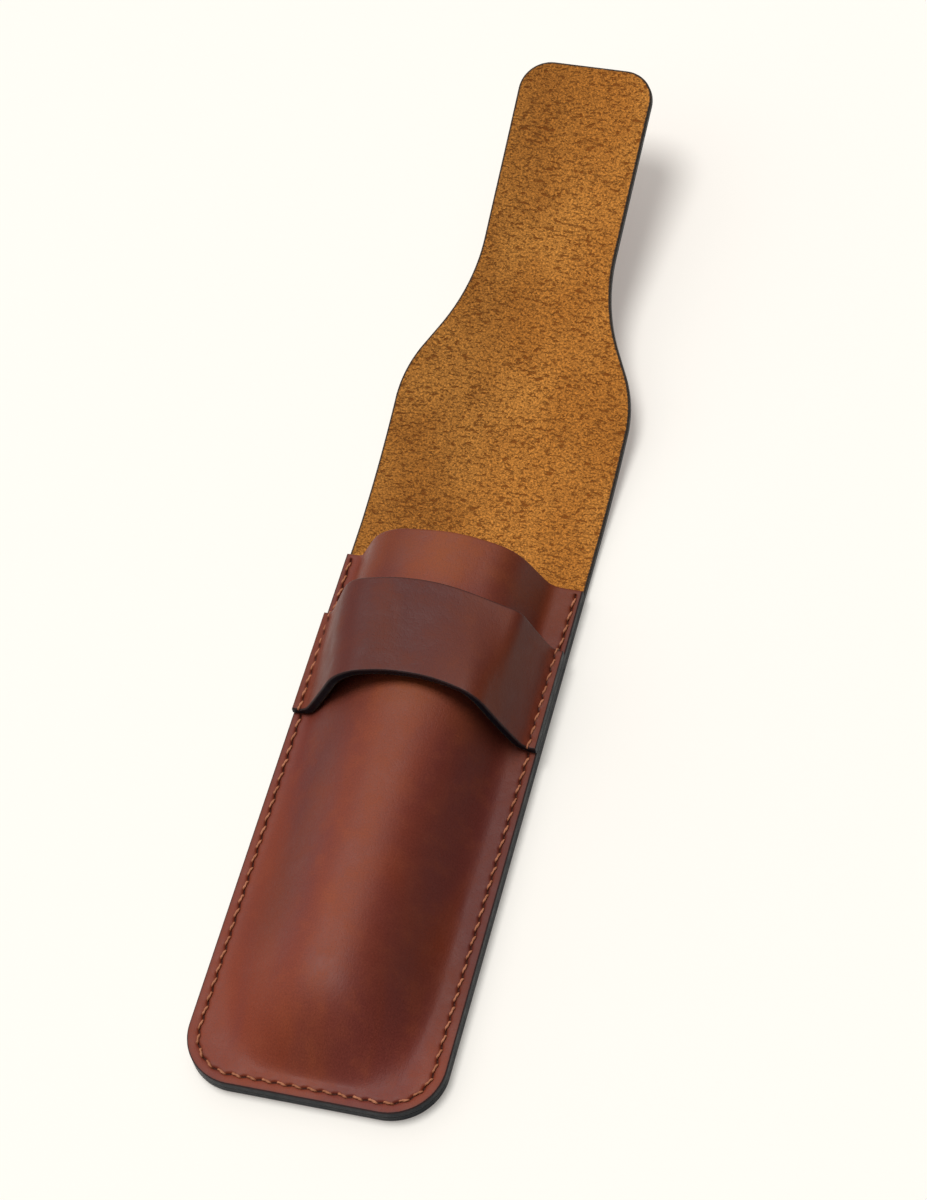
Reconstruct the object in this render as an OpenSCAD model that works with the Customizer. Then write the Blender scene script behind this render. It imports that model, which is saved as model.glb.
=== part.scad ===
// Leather sleeve for two fountain pens: a moulded pocket stitched to a back
// panel that runs on into a long flap, and a cross strap that the flap's
// tongue tucks under. X runs across, Y from the pocket's bottom towards the
// flap, Z up from the back panel's underside. All sizes are millimetres.

/* [Leather] */
// Thickness of the leather
leather_t = 2.2; // [1.8:0.1:2.6]
// Thickness of the painted coat on a cut edge
coat_t = 0.25; // [0.15:0.05:0.4]

/* [Pocket] */
// Width across the pocket's lower end
pocket_w = 60; // [58:1:64]
// Bottom edge to the mouth's corners
pocket_len = 136; // [128:1:144]
// Rise of the mouth's middle above its corners
mouth_rise = 1.5; // [0:0.5:4]
// Radius of the pocket's two lower corners
corner_r = 12.5; // [8:0.5:16]
// Height of the moulded front above the surface the case lies on
pocket_h = 18.8; // [17:0.2:20]
// Radius of the moulded front over the pens
crown_r = 18.5; // [17:0.5:20]
// Slope of the moulded front's flanks
flank_a = 41.6; // [40:0.2:44]

/* [Strap] */
// Bottom edge to the strap's lower edge at the seam
strap_low = 92.6; // [80:0.2:98]
// Width of the strap
strap_w = 26; // [20:1:30]
// How far the middle of its lower edge stands nearer the mouth than its ends
strap_arch = 5; // [0:0.5:6]
// The same for its upper edge
strap_far_arch = 3; // [0:0.5:6]

/* [Flap] */
// Width of the wide part of the flap
flap_w = 57; // [54:1:58]
// Width of the tongue at its neck
neck_w = 32.2; // [26:1:38]
// Width of the tongue near its end
tip_w = 33.2; // [26:1:38]
// Bottom edge to the first fold line, along the leather
fold_start = 147; // [146:1:149]
// Spacing of the four fold lines
fold_step = 9.5; // [9.4:0.1:10]
// Upward turn at each fold line as the open flap lies
fold_rest = 3.4; // [0:0.2:4]
// Bottom edge to the shoulders' corner, along the leather
shoulder_y = 186.4; // [184:1:192]
// Bottom edge to the neck, along the leather
neck_y = 209.4; // [204:1:214]
// Bottom edge to the tongue's end, along the leather
case_len = 268; // [255:1:275]
// Radius of the tongue's two end corners
tip_r = 7.5; // [3:0.5:10]
// Radius of the rounding at the shoulders
shoulder_r = 30; // [15:1:35]
// Radius of the rounding at the neck
neck_r = 48; // [20:1:50]

/* [Stitching] */
// Seam line to the pocket's side edge
seam_inset = 2.7; // [2.4:0.1:3]
// Number of stitches round the pocket
stitch_count = 88; // [80:1:96]
// Radius of the thread
thread_r = 0.33; // [0.25:0.01:0.35]

/* [Hidden] */

leather_colour = "#80463a";
suede_colour = "#a56d37";
paint_colour = "#2a3036";
thread_colour = "#b8713f";

eps = 0.02;
far = 400;
arc_steps = 8;
origin_y = pocket_len / 2;
panel_top = 2 * leather_t;
strap_top = 3 * leather_t;
strap_high = strap_low + strap_w;
strap_foot_x = 26;
plan_steps = 24;
plan_xs = [for (i = [0 : plan_steps]) 1.1 * pocket_w * (i / plan_steps - 0.5)];
paint_z = 0.1;

// Sideways sections of the moulded leather, as the corners [x, height above
// the leather it lies on, radius]: the pocket's front along most of its length,
// the wider front at the mouth, and the strap
peak = pocket_h + crown_r * (1 / cos(flank_a) - 1) - panel_top;
flank_foot = [peak / tan(flank_a), 0, 6];
front_corners = [mirror_x(flank_foot), [0, peak, crown_r], flank_foot];
mouth_corners = [[-22, 0, 2], [-15.4, 14.5, 9], [0, 15.4, 40], [15.4, 14.5, 9], [22, 0, 2]];
strap_corners = [[-25.3, 0, 2], [-18.1, 17.9, 6.5], [18.1, 17.9, 6.5], [25.3, 0, 2]];

// Closed end of the pocket: the front's section turned about an upright axis at
// nose_y, flat for nose_flat round it and raised there so the surfaces cross
nose_y = 32;
nose_flat = 4;
nose_rise = 0.4;
nose_foot_r = 2;
// Where the front starts to widen towards the mouth, and how fast
widen_y = 64;
widen_slope = 0.31;
plate_bite = 1.2;

// Stitched line and its groove
seam_x = pocket_w / 2 - seam_inset;
seam_y = 2.4;
seam_r = corner_r - seam_inset;
seam_top = pocket_len - 1.7;
side_len = seam_top - seam_y - seam_r;
bend_len = PI / 2 * seam_r;
bottom_len = 2 * (seam_x - seam_r);
seam_len = 2 * side_len + 2 * bend_len + bottom_len;
stitch_pitch = seam_len / stitch_count;
stitch_lap = 0.45;
stitch_gap = 0.15;
groove_half = 0.55;
groove_depth = 0.3;
back_groove_depth = 0.75;
hole_r = 0.4;
post_r = 0.3;

// Fold lines: each is a roll joint, a round end in a hollow one. The painted
// coats beside it stop roll_clear from its axis
fold_count = 4;
roll_z = leather_t / 2;
socket_r = roll_z + 0.095;
roll_clear = 1.3;

function arc(centre, r, from, to) =
    [for (i = [0 : arc_steps]) let (a = from + (to - from) * i / arc_steps)
        centre + r * [cos(a), sin(a)]];

function unit(v) = v / norm(v);

// Round the corner b of the path a, b, c with radius r, and move the arc
// inset to the path's right
function rounded(a, b, c, r, inset = 0) =
    let (u = unit(a - b), v = unit(c - b), half = acos(u * v) / 2,
         middle = b + unit(u + v) * r / sin(half),
         first = b + u * r / tan(half) - middle,
         from = atan2(first[1], first[0]),
         side = cross(u, v) > 0 ? -1 : 1)
    arc(middle, r + side * inset, from, from + side * (180 - 2 * half));

function mirror_x(p) = [-p[0], p[1], p[2]];

// Surface with these corners, standing on leather at height base, and with its
// underside inset below it
function section(corners, base, inset) =
    let (path = concat([[-far, 0, 0]], corners, [[far, 0, 0]]),
         at = [for (c = path) [c[0], c[1] + base - eps]])
    [for (i = [1 : len(corners)]) each rounded(at[i - 1], at[i], at[i + 1], path[i][2], inset)];

function mirrored(points) =
    [for (i = [len(points) - 1 : -1 : 0]) [-points[i][0], points[i][1]]];

function half_w(y) =
    y < corner_r ? pocket_w / 2
    : pocket_w / 2 + (flap_w - pocket_w) / 2 * min(1, (y - corner_r) / (fold_start - corner_r));

// Outline of the pocket from its lower corners up to y = top, drawn in by inset
function pocket_outline(top, inset) =
    let (r = corner_r - inset, x = pocket_w / 2 - inset - r, side = half_w(top) - inset)
    concat([[side, top], [-side, top]],
           arc([-x, corner_r], r, 180, 270), arc([x, corner_r], r, 270, 360));

// Outline of the flap from the last fold line to the tongue's end
function flap_outline(inset) =
    let (side = flap_w / 2 - inset, end = case_len - inset,
         start = [side, fold_y(fold_count)], shoulder = [side, shoulder_y],
         neck = [neck_w / 2 - inset, neck_y], tip = [tip_w / 2 - inset, end],
         right = concat([start], rounded(start, shoulder, neck, shoulder_r),
                        rounded(shoulder, neck, tip, neck_r),
                        rounded(neck, tip, [0, end], tip_r)))
    concat(right, mirrored(right));

// 1 over the middle of the pocket, easing to 0 at the strap's feet
function swell(x) = pow(cos(90 * min(1, abs(x) / strap_foot_x)), 2);

function fold_y(i) = fold_start + (i - 1) * fold_step;

// Point at a distance along the seam, from the left end at the mouth
function seam_point(s) =
    s < side_len ? [-seam_x, seam_top - s]
    : s < side_len + bend_len ? bend_point(-1, 180, s - side_len)
    : s < side_len + bend_len + bottom_len ? [s - side_len - bend_len - bottom_len / 2, seam_y]
    : s < seam_len - side_len ? bend_point(1, 270, s - side_len - bend_len - bottom_len)
    : [seam_x, seam_top - (seam_len - s)];
function bend_point(side, from, s) =
    [side * (seam_x - seam_r), seam_y + seam_r]
    + seam_r * [cos(from + 90 * s / bend_len), sin(from + 90 * s / bend_len)];
function hole_point(i) = seam_point(min(seam_len, i * stitch_pitch));
function on_strap(p) = abs(p[0]) > seam_x - eps && p[1] > strap_low && p[1] < strap_high;
function top_at(p) = on_strap(p) ? strap_top : panel_top;

// Length of the front stitch, cut short where an edge of the strap crosses it
function front_reach(p, q) =
    let (coat = on_strap(p) ? coat_t : 0,
         crossings = [for (y = [strap_low + coat, strap_high - coat])
             if (abs(p[0]) > seam_x - eps && (y - p[1]) * (y - q[1]) < 0) abs(y - p[1]) - stitch_gap])
    min(concat([norm(q - p) - stitch_lap - stitch_gap], crossings));

module placed() {
    translate([0, -origin_y, 0]) children();
}

// Turn a piece by the resting fold lines 1 to last
module bent(last, i = 1) {
    if (i > last) {
        children();
    } else {
        translate([0, fold_y(i), roll_z]) rotate([fold_rest, 0, 0])
            translate([0, -fold_y(i), -roll_z]) bent(last, i + 1) children();
    }
}

// Extrude an outline drawn in Y and Z across the case
module across(width) {
    rotate([90, 0, 90]) linear_extrude(height = width, center = true) children();
}

// Extrude an outline drawn in X and Z along the case
module along(from, to) {
    translate([0, to, 0]) rotate([90, 0, 0]) linear_extrude(height = to - from) children();
}

module plate(points, z, height) {
    translate([0, 0, z]) linear_extrude(height = height) polygon(points);
}

// Space under the dome of the pocket's closed end, and all beyond its axis
module nose_space(inset) {
    foot = flank_foot + [nose_flat, 0, 0];
    apex = [nose_flat, peak + nose_rise, crown_r];
    corners = [[2 * nose_flat - foot[0], 0, nose_foot_r], apex, [foot[0], 0, nose_foot_r]];
    points = section(corners, panel_top, inset);
    half = [for (i = [arc_steps + 1 + arc_steps / 2 : len(points) - 1]) points[i]];
    translate([0, nose_y, 0]) rotate_extrude($fn = 96)
        polygon(concat([[0, -1], [0, half[0][1]]], half, [[half[len(half) - 1][0], -1]]));
    translate([-far / 2, nose_y, -far / 2]) cube(far);
}

// Space under one section of the front, down into the plate it stands on
module front_space(corners, inset) {
    profile = section(corners, panel_top, inset);
    base = panel_top - plate_bite - inset;
    along(0, fold_start)
        polygon(concat(profile, [[profile[len(profile) - 1][0], base], [profile[0][0], base]]));
}

// Space under the slope along which the front widens towards the mouth
module widening_space(inset) {
    start = panel_top - eps - inset * sqrt(1 + widen_slope * widen_slope);
    across(far) polygon([[widen_y, -1], [widen_y, start],
                         [fold_start, start + widen_slope * (fold_start - widen_y)],
                         [fold_start, -1]]);
}

// Space under the moulded front's outer surface, or inside it by inset
module bulge_space(inset) {
    intersection() {
        front_space(front_corners, inset);
        nose_space(inset);
    }
    intersection() {
        front_space(mouth_corners, inset);
        widening_space(inset);
    }
}

// Plan region between the curves edge_a and edge_b, which are lists of [x, y]
module region(edge_a, edge_b) {
    plate(concat(edge_a, [for (i = [len(edge_b) - 1 : -1 : 0]) edge_b[i]]), -1, far);
}

function mouth_edge(inset) = [for (x = plan_xs) [x, pocket_len - inset + mouth_rise * swell(x)]];
function strap_edge(y, arch) = [for (x = plan_xs) [x, y + arch * swell(x)]];

module moulded_front() {
    difference() {
        union() {
            plate(pocket_outline(fold_start, coat_t), leather_t, leather_t);
            bulge_space(0);
        }
        bulge_space(leather_t);
    }
}

module strap_band() {
    outer = section(strap_corners, strap_top, 0);
    inner = section(strap_corners, strap_top, leather_t);
    side = half_w(strap_low) - coat_t;
    profile = concat([[-side, strap_top - eps]], outer, [[side, strap_top - eps], [side, panel_top - eps]],
                     [for (i = [len(inner) - 1 : -1 : 0]) inner[i]], [[-side, panel_top - eps]]);
    intersection() {
        along(strap_low - 1, strap_high + strap_arch + 1) polygon(profile);
        plate(pocket_outline(fold_start, coat_t), panel_top, far);
    }
}

module holes() {
    for (i = [0 : stitch_count])
        translate(concat(hole_point(i), -1)) cylinder(r = hole_r, h = strap_top + 2, $fn = 24);
}

// Groove that the stitches lie in
module groove(z, depth) {
    difference() {
        plate(seam_outline(groove_half), z, depth);
        plate(seam_outline(-groove_half), z - 1, depth + 2);
    }
}

// Closed shape around the seam line, grown outwards by grow
function seam_outline(grow) =
    let (r = seam_r + grow, x = seam_x - seam_r, y = seam_y + seam_r, side = seam_x + grow)
    concat([[side, seam_top + 1], [-side, seam_top + 1]],
           arc([-x, y], r, 180, 270), arc([x, y], r, 270, 360));

// One stitch: through its hole, along the front and along the back
module stitch(p, q) {
    run = norm(q - p) - stitch_lap - stitch_gap;
    top = top_at(p) - groove_depth + thread_r + eps;
    bottom = thread_r + 2 * eps;
    translate(concat(p, bottom)) cylinder(r = post_r, h = top - bottom, $fn = 24);
    translate(concat(p, 0)) rotate([0, 90, atan2(q[1] - p[1], q[0] - p[0])]) {
        translate([-top, 0, -stitch_lap])
            cylinder(r = thread_r, h = stitch_lap + front_reach(p, q), $fn = 24);
        translate([-bottom, 0, -stitch_lap]) cylinder(r = thread_r, h = stitch_lap + run, $fn = 24);
    }
}

module back_panel() {
    color(leather_colour) placed() difference() {
        plate(pocket_outline(fold_y(1), coat_t), 0, leather_t);
        socket(1);
        holes();
        groove(-1, back_groove_depth + 1);
    }
}

module front_panel() {
    color(leather_colour) placed() difference() {
        intersection() {
            moulded_front();
            region([for (x = plan_xs) [x, -1]], mouth_edge(coat_t));
        }
        holes();
        groove(panel_top - groove_depth, 1);
    }
}

module tuck_strap() {
    color(leather_colour) placed() difference() {
        intersection() {
            strap_band();
            region(strap_edge(strap_low + coat_t, strap_arch),
                   strap_edge(strap_high - coat_t, strap_far_arch));
        }
        holes();
        groove(strap_top - groove_depth, 1);
    }
}

module seam_thread() {
    color(thread_colour) placed()
        for (i = [0 : stitch_count - 1]) stitch(hole_point(i), hole_point(i + 1));
}

// Painted coat on the pocket's sides and lower end, over all its layers
module case_edge_paint() {
    color(paint_colour) placed() difference() {
        union() {
            plate(pocket_outline(fold_y(1) - roll_clear, 0), paint_z, leather_t - 2 * paint_z);
            intersection() {
                plate(pocket_outline(pocket_len - 1, 0), paint_z, panel_top - 2 * paint_z);
                translate([-far / 2, -1, -1]) cube(far);
            }
            intersection() {
                plate(pocket_outline(strap_high - coat_t, 0), paint_z, strap_top - 2 * paint_z);
                translate([-far / 2, strap_low + coat_t, -1]) cube(far);
            }
        }
        plate(pocket_outline(fold_start + 1, coat_t), -1, far);
    }
}

module mouth_edge_paint() {
    color(paint_colour) placed() intersection() {
        moulded_front();
        region(mouth_edge(coat_t), mouth_edge(0));
    }
}

module strap_edge_paint() {
    color(paint_colour) placed() intersection() {
        strap_band();
        union() {
            region(strap_edge(strap_low, strap_arch), strap_edge(strap_low + coat_t, strap_arch));
            region(strap_edge(strap_high - coat_t, strap_far_arch),
                   strap_edge(strap_high, strap_far_arch));
        }
    }
}

// Hollow of a roll joint at fold line i, in the leather before it is bent
module socket(i) {
    translate([-far / 2, fold_y(i), roll_z]) rotate([0, 90, 0])
        cylinder(r = socket_r, h = far, $fn = 48);
}

// Section of the leather between fold line i and the next: odd ones have two
// round ends, even ones two hollow ends
module fold_section(i) {
    if (i % 2 == 1) {
        translate([fold_y(i), 0]) square([fold_step, leather_t]);
        fold_ends(i, roll_z);
    } else {
        difference() {
            translate([fold_y(i), 0]) square([fold_step, leather_t]);
            fold_ends(i, socket_r);
        }
    }
}

module fold_ends(i, r) {
    for (y = [fold_y(i), fold_y(i + 1)]) translate([y, roll_z]) circle(r = r, $fn = 48);
}

module flap_fold(i) {
    color(suede_colour) placed() bent(i) across(flap_w - 2 * coat_t) fold_section(i);
}

module fold_edge_paint(i) {
    color(paint_colour) placed() bent(i) difference() {
        across(flap_w) fold_section(i);
        across(flap_w - 2 * coat_t) square(far, center = true);
    }
}

module flap() {
    color(suede_colour) placed() bent(fold_count) difference() {
        plate(flap_outline(coat_t), 0, leather_t);
        socket(fold_count);
    }
}

module flap_edge_paint() {
    color(paint_colour) placed() bent(fold_count) difference() {
        plate(flap_outline(0), paint_z, leather_t - 2 * paint_z);
        plate(flap_outline(coat_t), -1, far);
        translate([0, fold_y(fold_count), 0]) cube([far, 2 * roll_clear, far], center = true);
    }
}

back_panel();
front_panel();
tuck_strap();
seam_thread();
case_edge_paint();
mouth_edge_paint();
strap_edge_paint();
flap_fold(1);  // flap_fold_1
flap_fold(2);  // flap_fold_2
flap_fold(3);  // flap_fold_3
fold_edge_paint(1);  // fold_edge_paint_1
fold_edge_paint(2);  // fold_edge_paint_2
fold_edge_paint(3);  // fold_edge_paint_3
flap();
flap_edge_paint();
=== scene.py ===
"""Looks for the leather sleeve: leather, stitches, edge paint, floor, light and camera.

Lengths are millimetres in the case's own coordinates (X across, Y from the pocket's closed
end, Z up from the table) until mesh_object() turns them into metres in the CAD's frame.
"""
import math

import bmesh
import bpy
import numpy as np
from mathutils import Matrix, Vector


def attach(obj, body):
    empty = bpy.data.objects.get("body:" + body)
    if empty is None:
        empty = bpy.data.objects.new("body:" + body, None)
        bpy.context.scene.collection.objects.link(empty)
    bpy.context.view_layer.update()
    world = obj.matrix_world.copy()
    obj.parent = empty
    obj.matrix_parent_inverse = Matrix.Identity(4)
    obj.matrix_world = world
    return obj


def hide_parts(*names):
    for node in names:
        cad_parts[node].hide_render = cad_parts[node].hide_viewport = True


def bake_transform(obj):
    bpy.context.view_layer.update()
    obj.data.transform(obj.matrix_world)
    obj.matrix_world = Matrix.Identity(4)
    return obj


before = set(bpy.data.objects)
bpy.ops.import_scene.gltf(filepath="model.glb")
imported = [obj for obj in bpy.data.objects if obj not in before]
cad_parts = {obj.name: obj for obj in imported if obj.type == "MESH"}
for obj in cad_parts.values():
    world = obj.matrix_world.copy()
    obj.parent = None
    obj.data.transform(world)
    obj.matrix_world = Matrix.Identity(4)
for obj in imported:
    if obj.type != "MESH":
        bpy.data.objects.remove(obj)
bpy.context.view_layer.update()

# ---------------------------------------------------------------- sizes of the case
MM = 0.001  # metres in a millimetre
LEATHER = 2.2
HALF = LEATHER / 2
EDGE_ROUND = 0.4  # rounding of a free edge
PRESSED_ROUND = 0.08  # rounding of an edge pressed against the next leather
PANEL_TOP = 2 * LEATHER  # top of the front's margin, which lies on the back
STRAP_TOP = 3 * LEATHER  # top of the strap's feet, which lie on the front's margin
POCKET_HALF = 30.0
POCKET_LEN = 136.0
ORIGIN_Y = POCKET_LEN / 2
CORNER_R = 12.5
MOUTH_RISE = 1.5  # how much further the mouth's middle reaches than its ends

# Seam: its distance from the middle, from the closed end, its corner radius and its last hole
SEAM_X = 27.3
SEAM_D = POCKET_HALF - SEAM_X
SEAM_Y = 2.4
SEAM_R = 9.8
SEAM_TOP = 134.3
STITCHES = 88
SIDE_LEN = SEAM_TOP - SEAM_Y - SEAM_R
CORNER_LEN = math.pi / 2 * SEAM_R
BOTTOM_LEN = 2 * (SEAM_X - SEAM_R)
SEAM_LEN = 2 * SIDE_LEN + 2 * CORNER_LEN + BOTTOM_LEN
PITCH = SEAM_LEN / STITCHES

STRAP_LOW = 92.6
STRAP_W = 26.0
STRAP_ARCH = 5.0  # how far the middle of the near edge is shifted towards the mouth
FAR_ARCH = 3.0  # the same at the far edge
SWELL_X = 26.0  # half width over which the mouth's rise and the strap's arch fade

# Four fold lines. The resting flap turns by FOLD_REST at each.
FOLD_START = 147.0
FOLD_STEP = 9.5
FOLD_REST = math.radians(3.4)
FOLDS = 4
BEND_FROM = FOLD_START - FOLD_STEP / 2
BEND_TO = BEND_FROM + FOLDS * FOLD_STEP

# Flap's outline, measured along the leather
FLAP_HALF = 28.5
SHOULDER_Y = 186.4
SHOULDER_ROUND = 30.0
NECK_Y = 209.4
NECK_HALF = 16.1
NECK_ROUND = 48.0
TIP_HALF = 16.6
TIP_R = 7.5
CASE_LEN = 268.0
FLAP_WAVE = 0.3  # height of the flap's slow waves

# Pocket's hump: its height, and where and how fast it rises from the closed end
CROWN_H = 14.4
NOSE_Y = 4.4
NOSE_RUN = 10.5
NOSE_POWER = 1.7
# Its crest lies left of the middle, and its flanks reach and curve differently
CREST_X = -1.6
LEFT_REACH, RIGHT_REACH = 24.6, 25.6
LEFT_POWER, RIGHT_POWER = 1.1, 1.5
# Near the closed end the crest returns to the middle and the hump narrows
DRAW_FROM = 26.0
DRAW_RUN = 22.0
DRAW_IN = 4.0
# Towards the mouth the hump turns into the mouth's section, a little narrower and lower
BOXY_FROM = 66.0
BOXY_RUN = 52.0
MOUTH_NARROW = 1.03
MOUTH_LOWER = 0.975
PANEL_SAG = 0.10
STRAP_SAG = 0.09
# Cross-sections as corners (x, height, rounding): the mouth over its margin, and the outer
# face of the strap at its edge nearer the closed end and at its edge nearer the mouth
MOUTH_LINE = ((-30, 0, 0), (-25, 0, 3), (-17.5, 14.9, 11), (0, 15.8, 40), (14, 13.6, 9),
              (21, 0, 4.5), (30, 0, 0))
STRAP_NEAR = ((-30, 6.6, 0), (-26, 6.6, 3), (-16, 24.9, 8), (0, 23.6, 30), (17.5, 26.2, 6),
              (26.5, 6.6, 3), (30, 6.6, 0))
STRAP_FAR = ((-30, 6.6, 0), (-27, 6.6, 3), (-19.5, 24.4, 7), (-9, 25, 30), (21, 21.7, 3.5),
             (26.5, 6.6, 3), (30, 6.6, 0))

# ---------------------------------------------------------------- spacing of the mesh's points
# Distances from an edge, close together where it is rounded, then beside the seam
BORDER_STEPS = (0, 0.07, 0.17, 0.3, 0.46, 0.65)
BORDER_END = 0.9
SEAM_RINGS = (0.95, 1.3, 1.65, 1.95, 2.2, 2.4, 2.55, 2.7, 2.85, 3.0, 3.2, 3.45, 3.8, 4.2)
FRONT_RINGS = np.concatenate([BORDER_STEPS, SEAM_RINGS, np.arange(4.75, POCKET_HALF, 0.8),
                              [POCKET_HALF]])
BACK_BORDER = (0, 0.16, 0.38, 0.68, 1.0, 1.45, 1.95, 2.2, 2.4, 2.55, 2.7, 2.85, 3.0, 3.2, 3.5, 4.0)
BACK_RINGS = np.concatenate([BACK_BORDER, np.arange(4.7, 29.6, 0.75), [POCKET_HALF]])
# Distances along the seam from a hole, and from the leather's end
HOLE_STEPS = (-1.0, -0.65, -0.4, -0.2, 0.0, 0.2, 0.4, 0.65, 1.0, PITCH / 2)
END_STEPS = (0, 0.08, 0.2, 0.36, 0.55, 0.8)
LEAST_STEP = 0.03
STRAP_POINTS = 240
STRAP_ROWS = 72
BEND_ROWS = 20
ROUND_STEPS = 14
FINE_STEPS = 1200
SLOPE_STEP = 0.05
EDGE_LOOP = 0.28  # where the two loops of an edge lie between its two faces

# ---------------------------------------------------------------- seam, dents and stitches
GROOVE_DEPTH, GROOVE_W = 0.13, 0.62
PULL_DEPTH, PULL_W = 0.07, 1.3  # leather drawn down beside each hole
SLIT_DEPTH, SLIT_LEN, SLIT_W = 0.45, 0.85, 0.3
SLIT_COS, SLIT_SIN = 0.97, 0.24  # direction of a slit against the seam
SLIT_SHIFT = 0.06
BED_DEPTH, BED_W = 0.66, 0.5  # groove on the back that the stitches lie in
OVERRUN = 0.6  # how far the marks run past the last holes
FOOT_X = 25.5  # the strap's feet cover the front's margin outside this

THREAD_STEPS, THREAD_AROUND = 16, 10
THREAD_R = 0.27
THREAD_R_VARIES = 0.06
BACK_THINNER = 0.95
HOLE_GAP = 0.2  # share of the pitch between a hole's middle and the thread's end
DIVE = 0.22  # share of a stitch over which it rises from its hole
SLANT, SLANT_VARIES = 0.27, 0.05
FRONT_SINK, FRONT_LIFT = 0.42, 0.50
BACK_SINK, BACK_LIFT = 0.95, 0.58
PLY_DEPTH, PLY_TWIST = 0.2, 5.2  # two plies, and how far they turn in one stitch

# ---------------------------------------------------------------- tints in the leather, with painted light and shade
# Shares of the leather's brightness: painted shade on the front's left flank and over its right
# side, a painted highlight along its crest; the strap is made darker, less so at its feet and
# right, and the suede darker towards its left
FLANK_PAINTED_SHADE = 0.26
RIGHT_PAINTED_SHADE = 0.30
CREST_PAINTED_HIGHLIGHT = 0.10
STRAP_TONE = 0.57
STRAP_TONE_RIGHT = 0.05
STRAP_TONE_FEET = 0.2
SUEDE_LEFT = 0.76
# Shares of a warmer, brighter brown mixed in: at the mouth, as a painted warm highlight along the
# crest, below the strap and on the strap's right
WARM_MOUTH = 0.45
WARM_CREST_HIGHLIGHT = 0.28
WARM_BELOW_STRAP = 0.4
WARM_STRAP = 0.3
GRAIN_STRETCH = 1.15  # grain on the front, across the case
UNDERSIDE = 40  # shifts the pattern, so that the two faces differ
SUEDE_UNDERSIDE = 80
PATTERN_AWAY = 200  # the same between the strap and the front
RIM_PAST_MOUTH = 0.3  # narrows the dark rim at the mouth


def smooth(t):
    """0 to 1 with a soft start and end."""
    t = np.clip(t, 0.0, 1.0)
    return t * t * (3 - 2 * t)


def bell(value, centre, width):
    """1 at the centre, fading on both sides."""
    return np.exp(-((value - centre) / width) ** 2)


def swell(x):
    """1 in the middle of the case, 0 from SWELL_X outwards."""
    return np.cos(np.pi / 2 * np.minimum(1, np.abs(x) / SWELL_X)) ** 2


def half_w(y):
    """Half the width of the case at y. It narrows slightly towards the flap."""
    t = np.clip((y - CORNER_R) / (FOLD_START - CORNER_R), 0, 1)
    return POCKET_HALF + (FLAP_HALF - POCKET_HALF) * t


def taper(x, y):
    """Squeeze the margin outside the seam so that the outline narrows towards the flap."""
    out = np.maximum(0, np.abs(x) - SEAM_X)
    return np.sign(x) * (np.minimum(np.abs(x), SEAM_X) + out * (half_w(y) - SEAM_X) / SEAM_D)


def edge_round(e, r=EDGE_ROUND):
    """How far a surface drops at a distance e from a rounded edge."""
    t = np.clip(r - e, 0, r)
    return r - np.sqrt(r * r - t * t)


def rounded(a, b, c, r):
    """Points of the arc that rounds the corner b between a and c."""
    a, b, c = (np.array(p, float) for p in (a, b, c))
    u, v = (a - b) / np.linalg.norm(a - b), (c - b) / np.linalg.norm(c - b)
    half = math.acos(float(u @ v)) / 2
    centre = b + (u + v) / np.linalg.norm(u + v) * r / math.sin(half)
    first = b + u * r / math.tan(half) - centre
    start = math.atan2(first[1], first[0])
    turn = (math.pi - 2 * half) * (-1 if u[0] * v[1] - u[1] * v[0] > 0 else 1)
    angles = [start + turn * k / ROUND_STEPS for k in range(ROUND_STEPS + 1)]
    return [centre + r * np.array([math.cos(angle), math.sin(angle)]) for angle in angles]


def rounded_line(corners):
    """Line through corners (x, z, radius) with every inner corner rounded."""
    points = [p[:2] for p in corners]
    line = [np.array(points[0], float)]
    for a, b, c, corner in zip(points, points[1:], points[2:], corners[1:]):
        line += rounded(a, b, c, corner[2])
    return np.array(line + [np.array(points[-1], float)])


def lengths_along(line):
    """Distance of every point of a line from its start."""
    return np.concatenate([[0], np.cumsum(np.linalg.norm(np.diff(line, axis=0), axis=1))])


def soften(line, reach=1.6):
    """The same line in even steps, its bends eased over a reach in millimetres."""
    t = lengths_along(line)
    fine = np.linspace(0, t[-1], FINE_STEPS)
    q = np.stack([np.interp(fine, t, line[:, k]) for k in (0, 1)], 1)
    width = int(reach / t[-1] * FINE_STEPS)
    kernel = np.exp(-np.linspace(-2.2, 2.2, 2 * width + 1) ** 2)
    kernel /= kernel.sum()
    padded = np.concatenate([2 * q[:1] - q[width:0:-1], q, 2 * q[-1:] - q[-2:-width - 2:-1]])
    return np.stack([np.convolve(padded[:, k], kernel, mode="valid") for k in (0, 1)], 1)


def ripple(x, y, seed):
    """Slow unevenness of hand-cut leather, about plus or minus one."""
    total = 0.0
    rng = np.random.default_rng(seed)
    for _ in range(7):
        kx, ky = rng.normal(0, 0.11, 2)
        total = total + np.sin(kx * x + ky * y + rng.uniform(0, 6.28))
    return total / 3.5


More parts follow.
